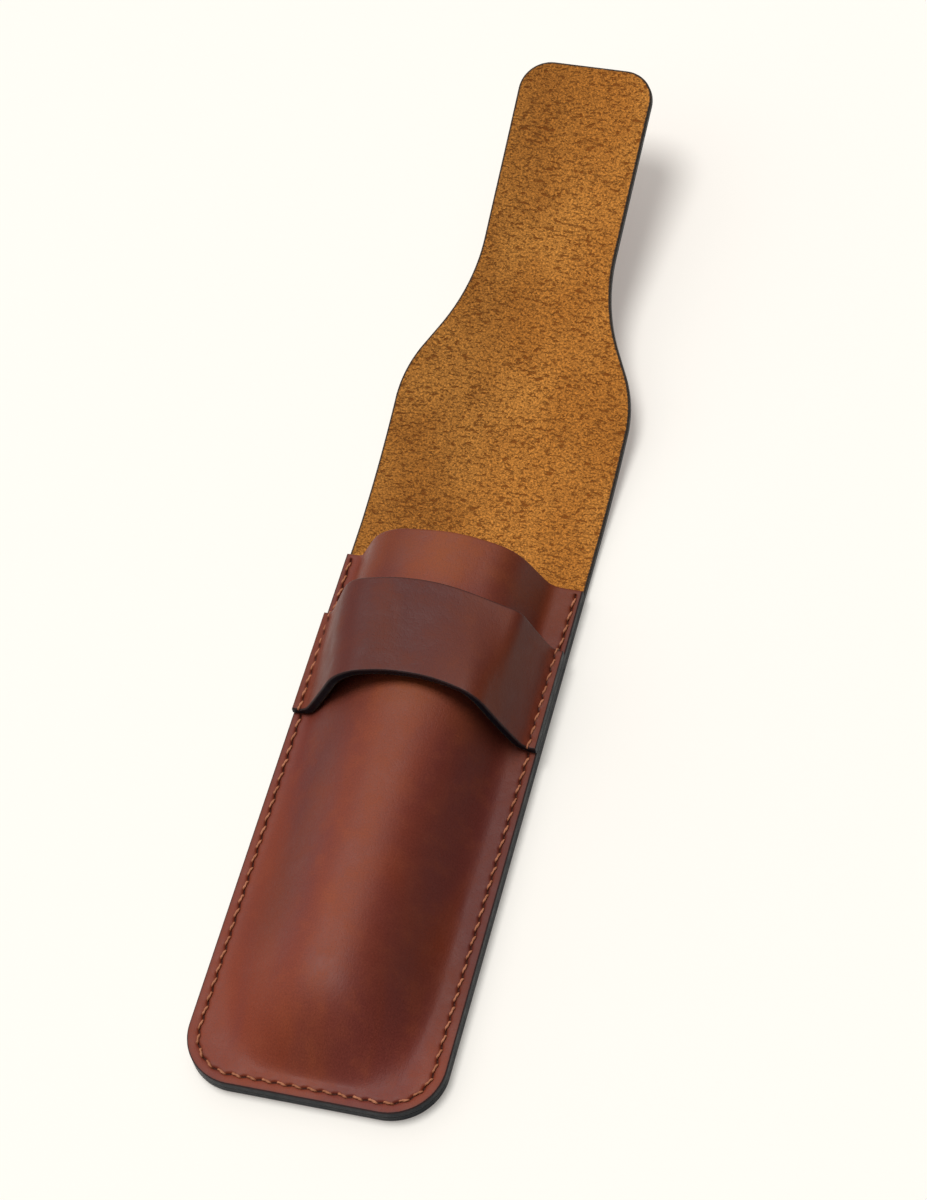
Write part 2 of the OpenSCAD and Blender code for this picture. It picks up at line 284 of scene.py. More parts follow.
# ---------------------------------------------------------------- meshes
def mesh_object(name, verts, faces, face_mats, mats, attrs, smooth_angle=50):
    """Object from points in millimetres. attrs are per point, one number or three each."""
    verts = np.asarray(verts, float).copy()
    verts[:, 1] -= ORIGIN_Y
    mesh = bpy.data.meshes.new(name)
    mesh.from_pydata((verts * MM).tolist(), [], faces)
    for key, values in attrs.items():
        values = np.asarray(values, np.float32)
        if values.ndim == 2:
            a = mesh.attributes.new(key, "FLOAT_VECTOR", "POINT")
            a.data.foreach_set("vector", values.ravel())
        else:
            a = mesh.attributes.new(key, "FLOAT", "POINT")
            a.data.foreach_set("value", values)
    mesh.polygons.foreach_set("material_index", np.asarray(face_mats, np.int32))
    for m in mats:
        mesh.materials.append(m)
    bm = bmesh.new()
    bm.from_mesh(mesh)
    bmesh.ops.remove_doubles(bm, verts=bm.verts, dist=2e-6)
    bmesh.ops.dissolve_degenerate(bm, edges=bm.edges, dist=1e-7)
    bmesh.ops.recalc_face_normals(bm, faces=bm.faces)
    bm.to_mesh(mesh)
    bm.free()
    mesh.shade_smooth()
    mesh.set_sharp_from_angle(angle=math.radians(smooth_angle))
    obj = bpy.data.objects.new(name, mesh)
    bpy.context.scene.collection.objects.link(obj)
    return obj


def grid_faces(index):
    """Four-sided faces between the neighbouring points of a grid."""
    return np.stack([index[:-1, :-1], index[:-1, 1:], index[1:, 1:], index[1:, :-1]],
                    -1).reshape(-1, 4)


def sheet_object(name, top, bottom, mats, attrs, sides=(1, 1, 1, 1)):
    """Closed sheet from two matching grids of points. sides says which borders get an edge:
    first row, last row, first column, last column. mats are top, bottom and edge."""
    n, m = top.shape[:2]
    index = np.arange(n * m).reshape(n, m)
    faces = [grid_faces(index), grid_faces(index + n * m)[:, ::-1]]
    kinds = [np.zeros(len(faces[0])), np.ones(len(faces[1]))]
    extra, extra_of = [], []
    for line, wanted in zip([index[0], index[-1], index[:, 0], index[:, -1]], sides):
        if not wanted:
            continue
        t, b = top.reshape(-1, 3)[line], bottom.reshape(-1, 3)[line]
        base = 2 * n * m + sum(len(x) for x in extra)
        extra.append(np.concatenate([t + (b - t) * EDGE_LOOP, b + (t - b) * EDGE_LOOP]))
        extra_of.append(np.concatenate([line, line]))
        k = len(line)
        edge = grid_faces(np.stack([line, base + np.arange(k), base + k + np.arange(k),
                                    line + n * m]))
        faces.append(edge)
        kinds.append(np.full(len(edge), 2))
    verts = np.concatenate([top.reshape(-1, 3), bottom.reshape(-1, 3)] + extra)
    full = {}
    for key, (a, b) in attrs.items():
        a, b = (np.asarray(v, float).reshape((n * m,) + np.shape(v)[2:]) for v in (a, b))
        full[key] = np.concatenate([a, b] + [a[i] for i in extra_of])
    return mesh_object(name, verts, np.concatenate(faces).tolist(), np.concatenate(kinds), mats,
                       full)


def normals_of(grid):
    """Upward normal at each point of a grid."""
    du, dv = np.gradient(grid, axis=0), np.gradient(grid, axis=1)
    n = np.cross(du, dv)
    n /= np.maximum(np.linalg.norm(n, axis=-1, keepdims=True), 1e-12)
    return n * np.sign(n[..., 2:3].mean())


# ---------------------------------------------------------------- grid that follows the seam
def seam_stations(top_y):
    """Distances along the seam, close together at each hole. 0 is the seam's first hole."""
    over = top_y - SEAM_TOP
    s = [i * PITCH + step for i in range(STITCHES + 1) for step in HOLE_STEPS]
    s = [v for v in s if BORDER_END - over < v < SEAM_LEN + over - BORDER_END]
    s += [-over + e for e in END_STEPS] + [SEAM_LEN + over - e for e in END_STEPS]
    s += list(np.arange(-over + 1.6, -0.9, 0.8))
    s += list(np.arange(SEAM_LEN + 1.0, SEAM_LEN + over - 1.2, 0.8))
    s = np.sort(np.array(s))
    s = s[np.concatenate([[True], np.diff(s) > LEAST_STEP])]
    # The second half mirrors the first, so that both sides meet point to point
    half = s[s < SEAM_LEN / 2 - LEAST_STEP]
    return np.concatenate([half, [SEAM_LEN / 2], SEAM_LEN - half[::-1]])


def ring_bottom(d):
    """Y of the ring at distance d from the outline, where it crosses the middle."""
    inside = np.clip((12 - d) / (12 - SEAM_D), 0, 1)
    return np.where(d <= SEAM_D, d * SEAM_Y / SEAM_D, d - (SEAM_D - SEAM_Y) * inside)


def seam_grid(d, s, top_y, rise):
    """Points (x, y) for rings at distance d from the outline and stations s along the seam,
    with s, d and each point's distance from the cut edge and from the mouth."""
    d, s = np.meshgrid(d, s, indexing="ij")
    side = np.where(s < SEAM_LEN / 2, -1.0, 1.0)
    s1 = np.minimum(s, SEAM_LEN - s)
    r = np.maximum(CORNER_R - d, 0)
    cx = np.where(d < CORNER_R, POCKET_HALF - CORNER_R, POCKET_HALF - d)
    cy = ring_bottom(d) + r
    hx = POCKET_HALF - d
    f = (top_y - (SEAM_TOP - s1)) / (top_y - (SEAM_Y + SEAM_R))
    peak = top_y + rise * swell(hx)
    y_side = peak - f * (peak - cy)
    a = np.clip((s1 - SIDE_LEN) / CORNER_LEN, 0, 1) * np.pi / 2
    b = np.clip((s1 - SIDE_LEN - CORNER_LEN) / (BOTTOM_LEN / 2), 0, 1)
    on_side = s1 <= SIDE_LEN
    x = side * np.where(on_side, hx, (cx + r * np.cos(a)) * (1 - b))
    y = np.where(on_side, y_side, cy - r * np.sin(a))
    margin = np.where(on_side, (half_w(y) - SEAM_X) / SEAM_D, 1.0)
    edge = np.where(d < SEAM_D, d * margin, d)
    mouth = np.where(on_side, peak - y, POCKET_LEN)
    return taper(x, y), y, s, d, edge, mouth


def seam_marks(s, d):
    """Depth of the dents beside the stitches, and how much painted shade the slits and the groove
    get.
    """
    i = np.clip(np.round(s / PITCH), 0, STITCHES)
    ds, du = s - i * PITCH, d - SEAM_D
    along, across = ds * SLIT_COS + du * SLIT_SIN, du * SLIT_COS - ds * SLIT_SIN
    slit = np.exp(-((along / SLIT_LEN) ** 4) - ((across - SLIT_SHIFT) / SLIT_W) ** 2)
    inside = (s > -OVERRUN) & (s < SEAM_LEN + OVERRUN)
    groove = bell(du, 0, GROOVE_W) * inside
    pull = bell(du, 0, PULL_W) * (0.5 + 0.5 * np.cos(2 * np.pi * ds / PITCH)) * inside
    slit = slit * inside
    return GROOVE_DEPTH * groove + PULL_DEPTH * pull + SLIT_DEPTH * slit, slit, groove


def grain_attrs(flat, tone_and_painted_light, warm, slit, groove, rim):
    """Attributes of a piece with its grain side up. rim is for its upper and lower face."""
    zero = np.zeros_like(tone_and_painted_light)
    return {
        "tone_and_painted_light": (tone_and_painted_light, tone_and_painted_light),
        "flat": (flat, flat + [0, 0, UNDERSIDE]),
        "slit": (slit, zero),
        "groove": (groove, zero),
        "rim": rim,
        "warm": (warm, zero),
    }


# ---------------------------------------------------------------- moulded front
def pocket_height(y):
    """Height of the pocket's crown over its margin, along the case."""
    t = np.maximum(0, (y - NOSE_Y) / NOSE_RUN)
    return CROWN_H * (1 - np.exp(-t ** NOSE_POWER))


def mouth_shape(x):
    """Height of the outer face over its margin at the mouth."""
    line = soften(rounded_line(MOUTH_LINE))
    return np.interp(x, line[:, 0], line[:, 1])


def pocket_surface(x, y):
    """Height of the middle of the front leather."""
    low_end = np.clip((DRAW_FROM - y) / DRAW_RUN, 0, 1)
    centre = CREST_X - CREST_X * low_end
    left = x < centre
    width = np.where(left, LEFT_REACH, RIGHT_REACH) - DRAW_IN * low_end
    t = np.clip(np.abs(x - centre) / width, 0, 1)
    power = np.where(left, LEFT_POWER, RIGHT_POWER)
    hump = np.cos(np.pi / 2 * t ** power) ** 2 * pocket_height(y)
    boxy = smooth((y - BOXY_FROM) / BOXY_RUN)
    rise = hump * (1 - boxy) + mouth_shape(x * MOUTH_NARROW) * MOUTH_LOWER * boxy
    sag = PANEL_SAG * ripple(x, y, 3)
    return PANEL_TOP - HALF + rise + sag * np.clip(rise / 4, 0, 1)


def pocket_normals(x, y):
    """Upward normal of the middle of the front leather."""
    step = SLOPE_STEP
    zx = (pocket_surface(x + step, y) - pocket_surface(x - step, y)) / (2 * step)
    zy = (pocket_surface(x, y + step) - pocket_surface(x, y - step)) / (2 * step)
    n = np.stack([-zx, -zy, np.ones_like(zx)], -1)
    return n / np.linalg.norm(n, axis=-1, keepdims=True)


def front_tints_and_painted_light(x, y):
    """Brightness and warmth of the front leather: painted shade on its left flank and right side,
    a painted highlight and warmer brown along its crest, and warmer brown at the mouth and below
    the strap.
    """
    tone_and_painted_light = (1 - FLANK_PAINTED_SHADE * bell(x, -16, 7.5) * smooth((y - 18) / 26)
            - RIGHT_PAINTED_SHADE * smooth((x - 4) / 12) * smooth((y - 10) / 24)
            + CREST_PAINTED_HIGHLIGHT * bell(x, -2, 6) * smooth((84 - y) / 40))
    strap_edge = STRAP_LOW + STRAP_ARCH * swell(x)
    warm = (WARM_MOUTH * smooth((y - 121) / 9) * bell(x, 2, 26)
            + WARM_CREST_HIGHLIGHT * bell(x, -1, 7)
            + WARM_BELOW_STRAP * bell(y, strap_edge - 1, 7) * bell(x, 3, 20))
    return tone_and_painted_light, warm


def front_panel(mats):
    s = seam_stations(POCKET_LEN)
    x, y, s, d, edge, mouth = seam_grid(FRONT_RINGS, s, POCKET_LEN, MOUTH_RISE)
    mid = np.stack([x, y, pocket_surface(x, y)], -1)
    n = pocket_normals(x, y)
    e = np.minimum(edge, mouth)
    dent, slit, groove = seam_marks(s, d)
    beside = 0.3
    under_strap = ((np.abs(x) > FOOT_X) & (y > STRAP_LOW + beside)
                   & (y < STRAP_LOW + STRAP_W - beside))
    dent = np.where(under_strap, 0, dent)
    drop = np.where(under_strap, edge_round(edge, PRESSED_ROUND), edge_round(e))
    under = np.maximum(edge_round(edge, PRESSED_ROUND), edge_round(mouth))
    top = mid + n * (HALF - drop - dent)[..., None]
    bottom = mid - n * (HALF - under)[..., None]
    flat = np.stack([x * GRAIN_STRETCH, y, np.zeros_like(x)], -1)
    tone_and_painted_light, warm = front_tints_and_painted_light(x, y)
    rim = (np.minimum(edge, mouth + RIM_PAST_MOUTH), e)
    return sheet_object("front_leather", top, bottom, mats,
                        grain_attrs(flat, tone_and_painted_light, warm, slit, groove, rim), sides=(1, 0, 1, 1))


# ---------------------------------------------------------------- strap
def strap_profile(corners):
    """Even points of a strap edge's outer line, their arc lengths and the line's length."""
    line = soften(rounded_line(corners))
    t = lengths_along(line)
    near = np.array(BORDER_STEPS)
    even = np.linspace(BORDER_END, t[-1] - BORDER_END, STRAP_POINTS - 2 * len(near))
    arc = np.concatenate([near, even, t[-1] - near[::-1]])
    return np.stack([np.interp(arc, t, line[:, 0]), np.interp(arc, t, line[:, 1])], 1), arc, t[-1]


def tuck_strap(mats):
    near, arc_near, len_near = strap_profile(STRAP_NEAR)
    far, arc_far, len_far = strap_profile(STRAP_FAR)
    border = np.array(BORDER_STEPS)
    v = np.concatenate([border, np.linspace(BORDER_END, STRAP_W - BORDER_END, STRAP_ROWS),
                        STRAP_W - border[::-1]])[:, None]
    w = smooth(v / STRAP_W)
    x = near[None, :, 0] * (1 - w) + far[None, :, 0] * w
    z = near[None, :, 1] * (1 - w) + far[None, :, 1] * w
    y = STRAP_LOW + v + (STRAP_ARCH * (1 - w) + FAR_ARCH * w) * swell(x)
    z = z + STRAP_SAG * ripple(x, y, 8) * np.clip((z - STRAP_TOP) / 4, 0, 1)
    outer = np.stack([taper(x, y), y, z], -1)
    foot = (np.abs(x) > SEAM_X - 0.6)[..., None]
    n = np.where(foot, np.array([0, 0, 1.0]), normals_of(outer))
    mid = outer - n * HALF
    arc_len = arc_near[None, :] * (1 - w) + arc_far[None, :] * w
    total = len_near * (1 - w) + len_far * w
    end_e = np.minimum(arc_len, total - arc_len)
    along_e = np.minimum(v, STRAP_W - v)
    e = np.minimum(along_e, end_e)
    under = np.maximum(edge_round(end_e, PRESSED_ROUND), edge_round(along_e))
    seam_s = np.where(x < 0, SEAM_TOP - y, SEAM_LEN - (SEAM_TOP - y))
    dent, slit, groove = seam_marks(seam_s, POCKET_HALF - np.abs(x))
    top = mid + n * (HALF - edge_round(e) - dent)[..., None]
    bottom = mid - n * (HALF - under)[..., None]
    bottom[..., 2] = np.maximum(bottom[..., 2], PANEL_TOP + 0.01)
    zero = np.zeros_like(x)
    flat = np.stack([arc_len - total / 2 + PATTERN_AWAY, v + zero, zero], -1)
    warm = WARM_STRAP * bell(x, 13, 9)
    tone_and_painted_light = (STRAP_TONE + STRAP_TONE_RIGHT * bell(x, 12, 8)
            + STRAP_TONE_FEET * smooth((np.abs(x) - 22) / 5))
    return sheet_object("strap_leather", top, bottom, mats,
                        grain_attrs(flat, tone_and_painted_light, warm, slit, groove, (e, e)))


# ---------------------------------------------------------------- back and flap
bend_s = np.linspace(BEND_FROM - 10, CASE_LEN + 5, 6000)
bend_angle = sum(FOLD_REST * smooth((bend_s - BEND_FROM - i * FOLD_STEP) / FOLD_STEP)
                 for i in range(FOLDS))
bend_step = bend_s[1] - bend_s[0]
bend_y = bend_s[0] + np.concatenate([[0], np.cumsum(np.cos(bend_angle[:-1]) * bend_step)])
bend_z = HALF + np.concatenate([[0], np.cumsum(np.sin(bend_angle[:-1]) * bend_step)])


def on_flap(x, s, n):
    """Points of the resting flap: s along the leather, n above its middle."""
    a = np.interp(s, bend_s, bend_angle)
    y = np.interp(s, bend_s, bend_y) - n * np.sin(a)
    z = np.interp(s, bend_s, bend_z) + n * np.cos(a)
    return np.stack([x, y, z], -1)


def suede_attrs(x, s, e, slit=None, groove=None):
    """Attributes of a piece with its suede side up. The seam's marks are on its lower face."""
    zero = np.zeros_like(x)
    flat = np.stack([x, s, zero], -1)
    tone_and_painted_light = SUEDE_LEFT + (1 - SUEDE_LEFT) * smooth((x + 14) / 22)
    return {
        "flat": (flat, flat * [-1, 1, 1] + [0, 0, SUEDE_UNDERSIDE]),
        "slit": (zero, zero if slit is None else slit),
        "groove": (zero, zero if groove is None else groove),
        "rim": (e, e),
        "warm": (zero, zero),
        "tone_and_painted_light": (tone_and_painted_light, zero + 1),
    }


def back_leather(mats):
    s = seam_stations(BEND_FROM)
    x, y, s, d, edge, _ = seam_grid(BACK_RINGS, s, BEND_FROM, 0)
    dent, slit, groove = seam_marks(s, d)
    inside = (s > -OVERRUN) & (s < SEAM_LEN + OVERRUN)
    dent = np.maximum(dent, BED_DEPTH * np.exp(-((d - SEAM_D) / BED_W) ** 4) * inside)
    # The upper edge is pressed under the front, and free past the mouth
    beyond = smooth((y - POCKET_LEN) / 2)
    free, pressed = edge_round(edge), edge_round(edge, PRESSED_ROUND)
    top = np.stack([x, y, LEATHER - pressed - (free - pressed) * beyond], -1)
    bottom = np.stack([x, y, free + dent], -1)
    return sheet_object("back_leather", top, bottom, mats, suede_attrs(x, y, edge, slit, groove),
                        sides=(1, 0, 1, 1))


def row_x():
    """Points across the flap, from -1 to 1, that meet the back's points."""
    half = POCKET_HALF - BACK_RINGS
    x = np.concatenate([-half, half[::-1][1:]])
    return taper(x, np.full(len(x), FOLD_START)) / FLAP_HALF


def fold_leather(i, mats):
    start = BEND_FROM + i * FOLD_STEP
    u, s = np.meshgrid(row_x(), np.linspace(start, start + FOLD_STEP, BEND_ROWS), indexing="ij")
    wide = half_w(s)
    x = u * wide
    e = wide - np.abs(x)
    h = HALF - edge_round(e)
    return sheet_object(f"bend_leather_{i + 1}", on_flap(x, s, h), on_flap(x, s, -h), mats,
                        suede_attrs(x, s, e))


def distance_to(line, x, y):
    """Distance of each point from a line."""
    p = np.stack([x, y], -1).reshape(-1, 2)
    e = np.full(len(p), np.inf)
    for a, b in zip(line[:-1], line[1:]):
        ab = b - a
        t = np.clip(((p - a) @ ab) / (ab @ ab), 0, 1)
        e = np.minimum(e, np.linalg.norm(p - a - t[:, None] * ab, axis=1))
    return e.reshape(x.shape)


def flap_leather(mats):
    start, shoulder = (FLAP_HALF, BEND_TO), (FLAP_HALF, SHOULDER_Y)
    neck, tip, middle = (NECK_HALF, NECK_Y), (TIP_HALF, CASE_LEN), (0, CASE_LEN)
    side = np.array([np.array(start)] + rounded(start, shoulder, neck, SHOULDER_ROUND)
                    + rounded(shoulder, neck, tip, NECK_ROUND)
                    + rounded(neck, tip, middle, TIP_R))
    stations = np.unique(np.round(np.concatenate([
        np.arange(BEND_TO, CASE_LEN - TIP_R, 0.55),
        CASE_LEN - TIP_R + TIP_R * np.sin(np.radians(np.arange(0, 70, 5))),
        CASE_LEN - np.array([0.3, 0.22, 0.15, 0.09, 0.04, 0.012, 0.0]),
    ]), 4))
    u, s = np.meshgrid(row_x(), stations, indexing="ij")
    x = u * np.interp(s, side[:, 1], side[:, 0])
    e = distance_to(np.concatenate([side, [middle]]), np.abs(x), s)
    wave = FLAP_WAVE * ripple(x * 0.5, s * 0.5, 5) * smooth((s - BEND_TO) / 20)
    h = HALF - edge_round(e)
    return sheet_object("flap_leather", on_flap(x, s, h + wave), on_flap(x, s, wave - h), mats,
                        suede_attrs(x, s, e))


# ---------------------------------------------------------------- stitches
def seam_xy(s, side_shift):
    """Point on the seam, moved inwards by side_shift."""
    side = -1.0 if s < SEAM_LEN / 2 else 1.0
    s1 = min(s, SEAM_LEN - s)
    if s1 <= SIDE_LEN:
        p = (SEAM_X - side_shift, SEAM_TOP - s1)
    elif s1 <= SIDE_LEN + CORNER_LEN:
        a = (s1 - SIDE_LEN) / SEAM_R
        r = SEAM_R - side_shift
        p = (SEAM_X - SEAM_R + r * math.cos(a), SEAM_Y + SEAM_R - r * math.sin(a))
    else:
        p = (SEAM_X - SEAM_R - (s1 - SIDE_LEN - CORNER_LEN), SEAM_Y + side_shift)
    return side * p[0], p[1]


def seam_height(s):
    """Height of the leather under the front stitches, a layer higher on the strap's feet."""
    y = SEAM_TOP - min(s, SEAM_LEN - s)
    ramp, before = 0.7, 0.75
    up = (smooth((y - (STRAP_LOW - before)) / ramp)
          * smooth((STRAP_LOW + STRAP_W + before - y) / ramp))
    return PANEL_TOP + LEATHER * float(up)


def stitch_path(i, front, slant, t, lift):
    """Middle line of stitch i, from t = 0 at one hole to 1 at the next."""
    points = []
    for part, up in zip(t.tolist(), lift.tolist()):
        s = (i + HOLE_GAP + (1 - 2 * HOLE_GAP) * part) * PITCH
        x, y = seam_xy(s, slant * (1 - 2 * part))
        if front:
            z = seam_height(s) - FRONT_SINK + FRONT_LIFT * up
        else:
            z = BACK_SINK - BACK_LIFT * up
        points.append((x, y, z))
    return np.array(points)


def thread_piece(mats):
    rng = np.random.default_rng(21)
    t = np.linspace(0, 1, THREAD_STEPS)
    dive = np.clip(np.minimum(t, 1 - t) / DIVE, 0, 1)
    lift = np.sqrt(1 - (1 - dive) ** 2)
    angle = 2 * np.pi * np.arange(THREAD_AROUND) / THREAD_AROUND
    around = [(j, (j + 1) % THREAD_AROUND) for j in range(THREAD_AROUND)]
    verts, faces = [], []
    for i in range(STITCHES):
        for front in (True, False):
            slant = (SLANT + rng.uniform(-SLANT_VARIES, SLANT_VARIES)) * (1 if front else -1)
            fat = THREAD_R * (1 + rng.uniform(-THREAD_R_VARIES, THREAD_R_VARIES))
            fat = fat * (0.7 + 0.3 * lift) * (1 if front else BACK_THINNER)
            spin = rng.uniform(0, 6.28)
            centre = stitch_path(i, front, slant, t, lift)
            tangent = np.gradient(centre, axis=0)
            tangent /= np.linalg.norm(tangent, axis=1, keepdims=True)
            side = np.cross(tangent, [0, 0, 1.0])
            side /= np.linalg.norm(side, axis=1, keepdims=True)
            up = np.cross(side, tangent)
            ply = 1 + PLY_DEPTH * np.cos(2 * (angle - spin - PLY_TWIST * t[:, None]))
            out = (np.cos(angle)[:, None] * side[:, None] + np.sin(angle)[:, None] * up[:, None])
            tube = centre[:, None] + (fat[:, None] * ply)[..., None] * out
            base = len(verts)
            verts += [*tube.reshape(-1, 3), centre[0], centre[-1]]
            for k in range(THREAD_STEPS - 1):
                low, high = base + k * THREAD_AROUND, base + (k + 1) * THREAD_AROUND
                faces += [(low + a, low + b, high + b, high + a) for a, b in around]
            last = base + (THREAD_STEPS - 1) * THREAD_AROUND
            faces += [(base + b, base + a, len(verts) - 2) for a, b in around]
            faces += [(last + a, last + b, len(verts) - 1) for a, b in around]
    verts = np.array(verts)
    return mesh_object("seam_stitches", verts, faces, np.zeros(len(faces)), mats,
                       {"flat": verts}, 80)


# ---------------------------------------------------------------- materials
LEATHER_BROWN, LEATHER_RED = (0.156, 0.030, 0.022), (0.202, 0.036, 0.015)
LEATHER_PATCH = (0.230, 0.048, 0.021)
LEATHER_WARM = (0.262, 0.063, 0.014)
# painted shade in the seam's groove and in the stitch holes
GROOVE_PAINTED_SHADE, SLIT_PAINTED_SHADE = (0.10, 0.022, 0.010), (0.055, 0.013, 0.008)
LEATHER_RIM = (0.08, 0.022, 0.016)  # dye that has soaked in beside the paint
SUEDE_DARK, SUEDE_LIGHT = (0.43, 0.158, 0.025), (0.57, 0.236, 0.045)
SUEDE_DRIFT = (0.33, 0.115, 0.018)
SUEDE_FLECK = (0.19, 0.050, 0.004)
PAINT_ON_GRAIN, PAINT_ON_SUEDE = (0.008, 0.011, 0.014), (0.032, 0.028, 0.026)
PAINT_DARK, PAINT_LIGHT = (0.0015, 0.004, 0.008), (0.003, 0.008, 0.015)
PAINT_WORN = (0.018, 0.024, 0.030)
THREAD_DARK, THREAD_LIGHT = (0.36, 0.125, 0.055), (0.48, 0.18, 0.090)
FLOOR_DARK, FLOOR_LIGHT = (0.665, 0.650, 0.620), (0.675, 0.660, 0.630)


class Nodes:
    """A material's node tree. Patterns are laid in millimetres along the flat attribute."""

    def __init__(self, name):
        self.mat = bpy.data.materials.new(name)
        self.mat.use_nodes = True
        self.tree = self.mat.node_tree
        self.tree.nodes.clear()
        out = self.tree.nodes.new("ShaderNodeOutputMaterial")
        self.shader = self.add("ShaderNodeBsdfPrincipled")
        self.tree.links.new(self.shader.outputs[0], out.inputs[0])

    def add(self, kind, **props):
        node = self.tree.nodes.new(kind)
        for k, v in props.items():
            setattr(node, k, v)
        return node

    def feed(self, socket, value):
        if isinstance(value, bpy.types.NodeSocket):
            self.tree.links.new(value, socket)
        else:
            socket.default_value = value

    def put(self, **values):
        """Set the shader's inputs. An underscore stands for a space in an input's name."""
        for key, value in values.items():
            self.feed(self.shader.inputs[key.replace("_", " ")], value)

    def attr(self, name, vector=False):
        node = self.add("ShaderNodeAttribute", attribute_name=name)
        return node.outputs["Vector" if vector else "Fac"]

    def noise(self, at, scale, detail=3.0, rough=0.55, distort=0.0):
        node = self.add("ShaderNodeTexNoise")
        for key, value in (("Vector", at), ("Scale", scale), ("Detail", detail),
                           ("Roughness", rough), ("Distortion", distort)):
            self.feed(node.inputs[key], value)
        return node.outputs["Fac"]

    def cells(self, at, scale, feature="F1"):
        node = self.add("ShaderNodeTexVoronoi", feature=feature)
        self.feed(node.inputs["Vector"], at)
        self.feed(node.inputs["Scale"], scale)
        return node.outputs["Distance"]

    def move(self, at, scale=(1, 1, 1), rotate=(0, 0, 0), place=(0, 0, 0)):
        node = self.add("ShaderNodeMapping")
        for key, value in (("Vector", at), ("Scale", scale), ("Rotation", rotate),
                           ("Location", place)):
            self.feed(node.inputs[key], value)
        return node.outputs[0]

    def ramp(self, value, low, high, out_low=0.0, out_high=1.0):
        """From out_low to out_high, smoothly, as value goes from low to high."""
        node = self.add("ShaderNodeMapRange", interpolation_type="SMOOTHSTEP")
        for key, v in (("Value", value), ("From Min", low), ("From Max", high),
                       ("To Min", out_low), ("To Max", out_high)):
            self.feed(node.inputs[key], v)
        return node.outputs[0]

    def math(self, op, a, b, clamp=False):
        node = self.add("ShaderNodeMath", operation=op, use_clamp=clamp)
        self.feed(node.inputs[0], a)
        self.feed(node.inputs[1], b)
        return node.outputs[0]

    def plus(self, a, b):
        return self.math("ADD", a, b)

    def times(self, a, b):
        return self.math("MULTIPLY", a, b)

    def mix(self, fac, a, b, blend="MIX"):
        node = self.add("ShaderNodeMix", data_type="RGBA", blend_type=blend)
        self.feed(node.inputs["Factor"], fac)
        self.feed(node.inputs[6], a if isinstance(a, bpy.types.NodeSocket) else (*a, 1))
        self.feed(node.inputs[7], b if isinstance(b, bpy.types.NodeSocket) else (*b, 1))
        return node.outputs[2]

    def shade(self, colour, factor):
        return self.mix(1.0, colour, factor, "MULTIPLY")

    def bump(self, height, distance, strength, normal=None):
        node = self.add("ShaderNodeBump")
        for key, value in (("Height", height), ("Distance", distance), ("Strength", strength)):
            self.feed(node.inputs[key], value)
        if normal is not None:
            self.feed(node.inputs["Normal"], normal)
        return node.outputs[0]


def grain_leather():
    m = Nodes("grain_leather")
    at = m.attr("flat", True)
    big = m.noise(m.move(at, (1.0, 0.35, 1)), 0.05, 3, 0.5, 0.6)
    patch = m.noise(at, 0.16, 4, 0.6)
    fine = m.noise(at, 2.6, 5, 0.65)
    pores = m.cells(m.move(at, (1.0, 0.8, 1)), 1.9)
    creases = m.cells(m.move(at, (1, 0.7, 1), (0, 0, 0.3)), 0.75, "DISTANCE_TO_EDGE")
    colour = m.mix(m.ramp(big, 0.36, 0.66), LEATHER_BROWN, LEATHER_RED)
    colour = m.mix(m.times(m.ramp(patch, 0.45, 0.75), 0.5), colour, LEATHER_PATCH)
    warm = m.math("MULTIPLY", m.attr("warm"), m.ramp(patch, 0.2, 0.7, 0.55, 1.0), True)
    colour = m.mix(warm, colour, LEATHER_WARM)
    colour = m.shade(colour, m.ramp(fine, 0.3, 0.72, 0.84, 1.12))
    colour = m.shade(colour, m.ramp(pores, 0.0, 0.22, 0.82, 1.0))
    # the tone attribute darkens and lightens the leather; on the front it is painted shade and a
    # painted highlight
    colour = m.shade(colour, m.attr("tone_and_painted_light"))
    # painted shade in the seam's groove and in the stitch holes
    colour = m.mix(m.times(m.attr("groove"), 0.3), colour, GROOVE_PAINTED_SHADE)
    colour = m.mix(m.ramp(m.attr("slit"), 0.3, 0.8), colour, SLIT_PAINTED_SHADE)
    rim = m.plus(m.attr("rim"), m.times(m.noise(at, 1.4, 4, 0.7), 0.3))
    colour = m.mix(m.ramp(rim, 0.36, 0.5, 1, 0), colour, PAINT_ON_GRAIN)
    colour = m.mix(m.ramp(rim, 0.45, 1.2, 0.3, 0), colour, LEATHER_RIM)
    rough = m.plus(m.ramp(patch, 0.3, 0.75, 0.47, 0.60), m.ramp(fine, 0.3, 0.7, -0.05, 0.05))
    relief = m.plus(m.times(fine, 0.5), m.times(m.ramp(pores, 0.0, 0.4), 0.35))
    relief = m.plus(relief, m.times(m.ramp(creases, 0.0, 0.12), 0.2))
    normal = m.bump(patch, 0.0004, 0.35, m.bump(relief, 0.00006, 0.8))
    m.put(Base_Color=colour, Roughness=rough, Specular_IOR_Level=0.21, Normal=normal)
    return m.mat


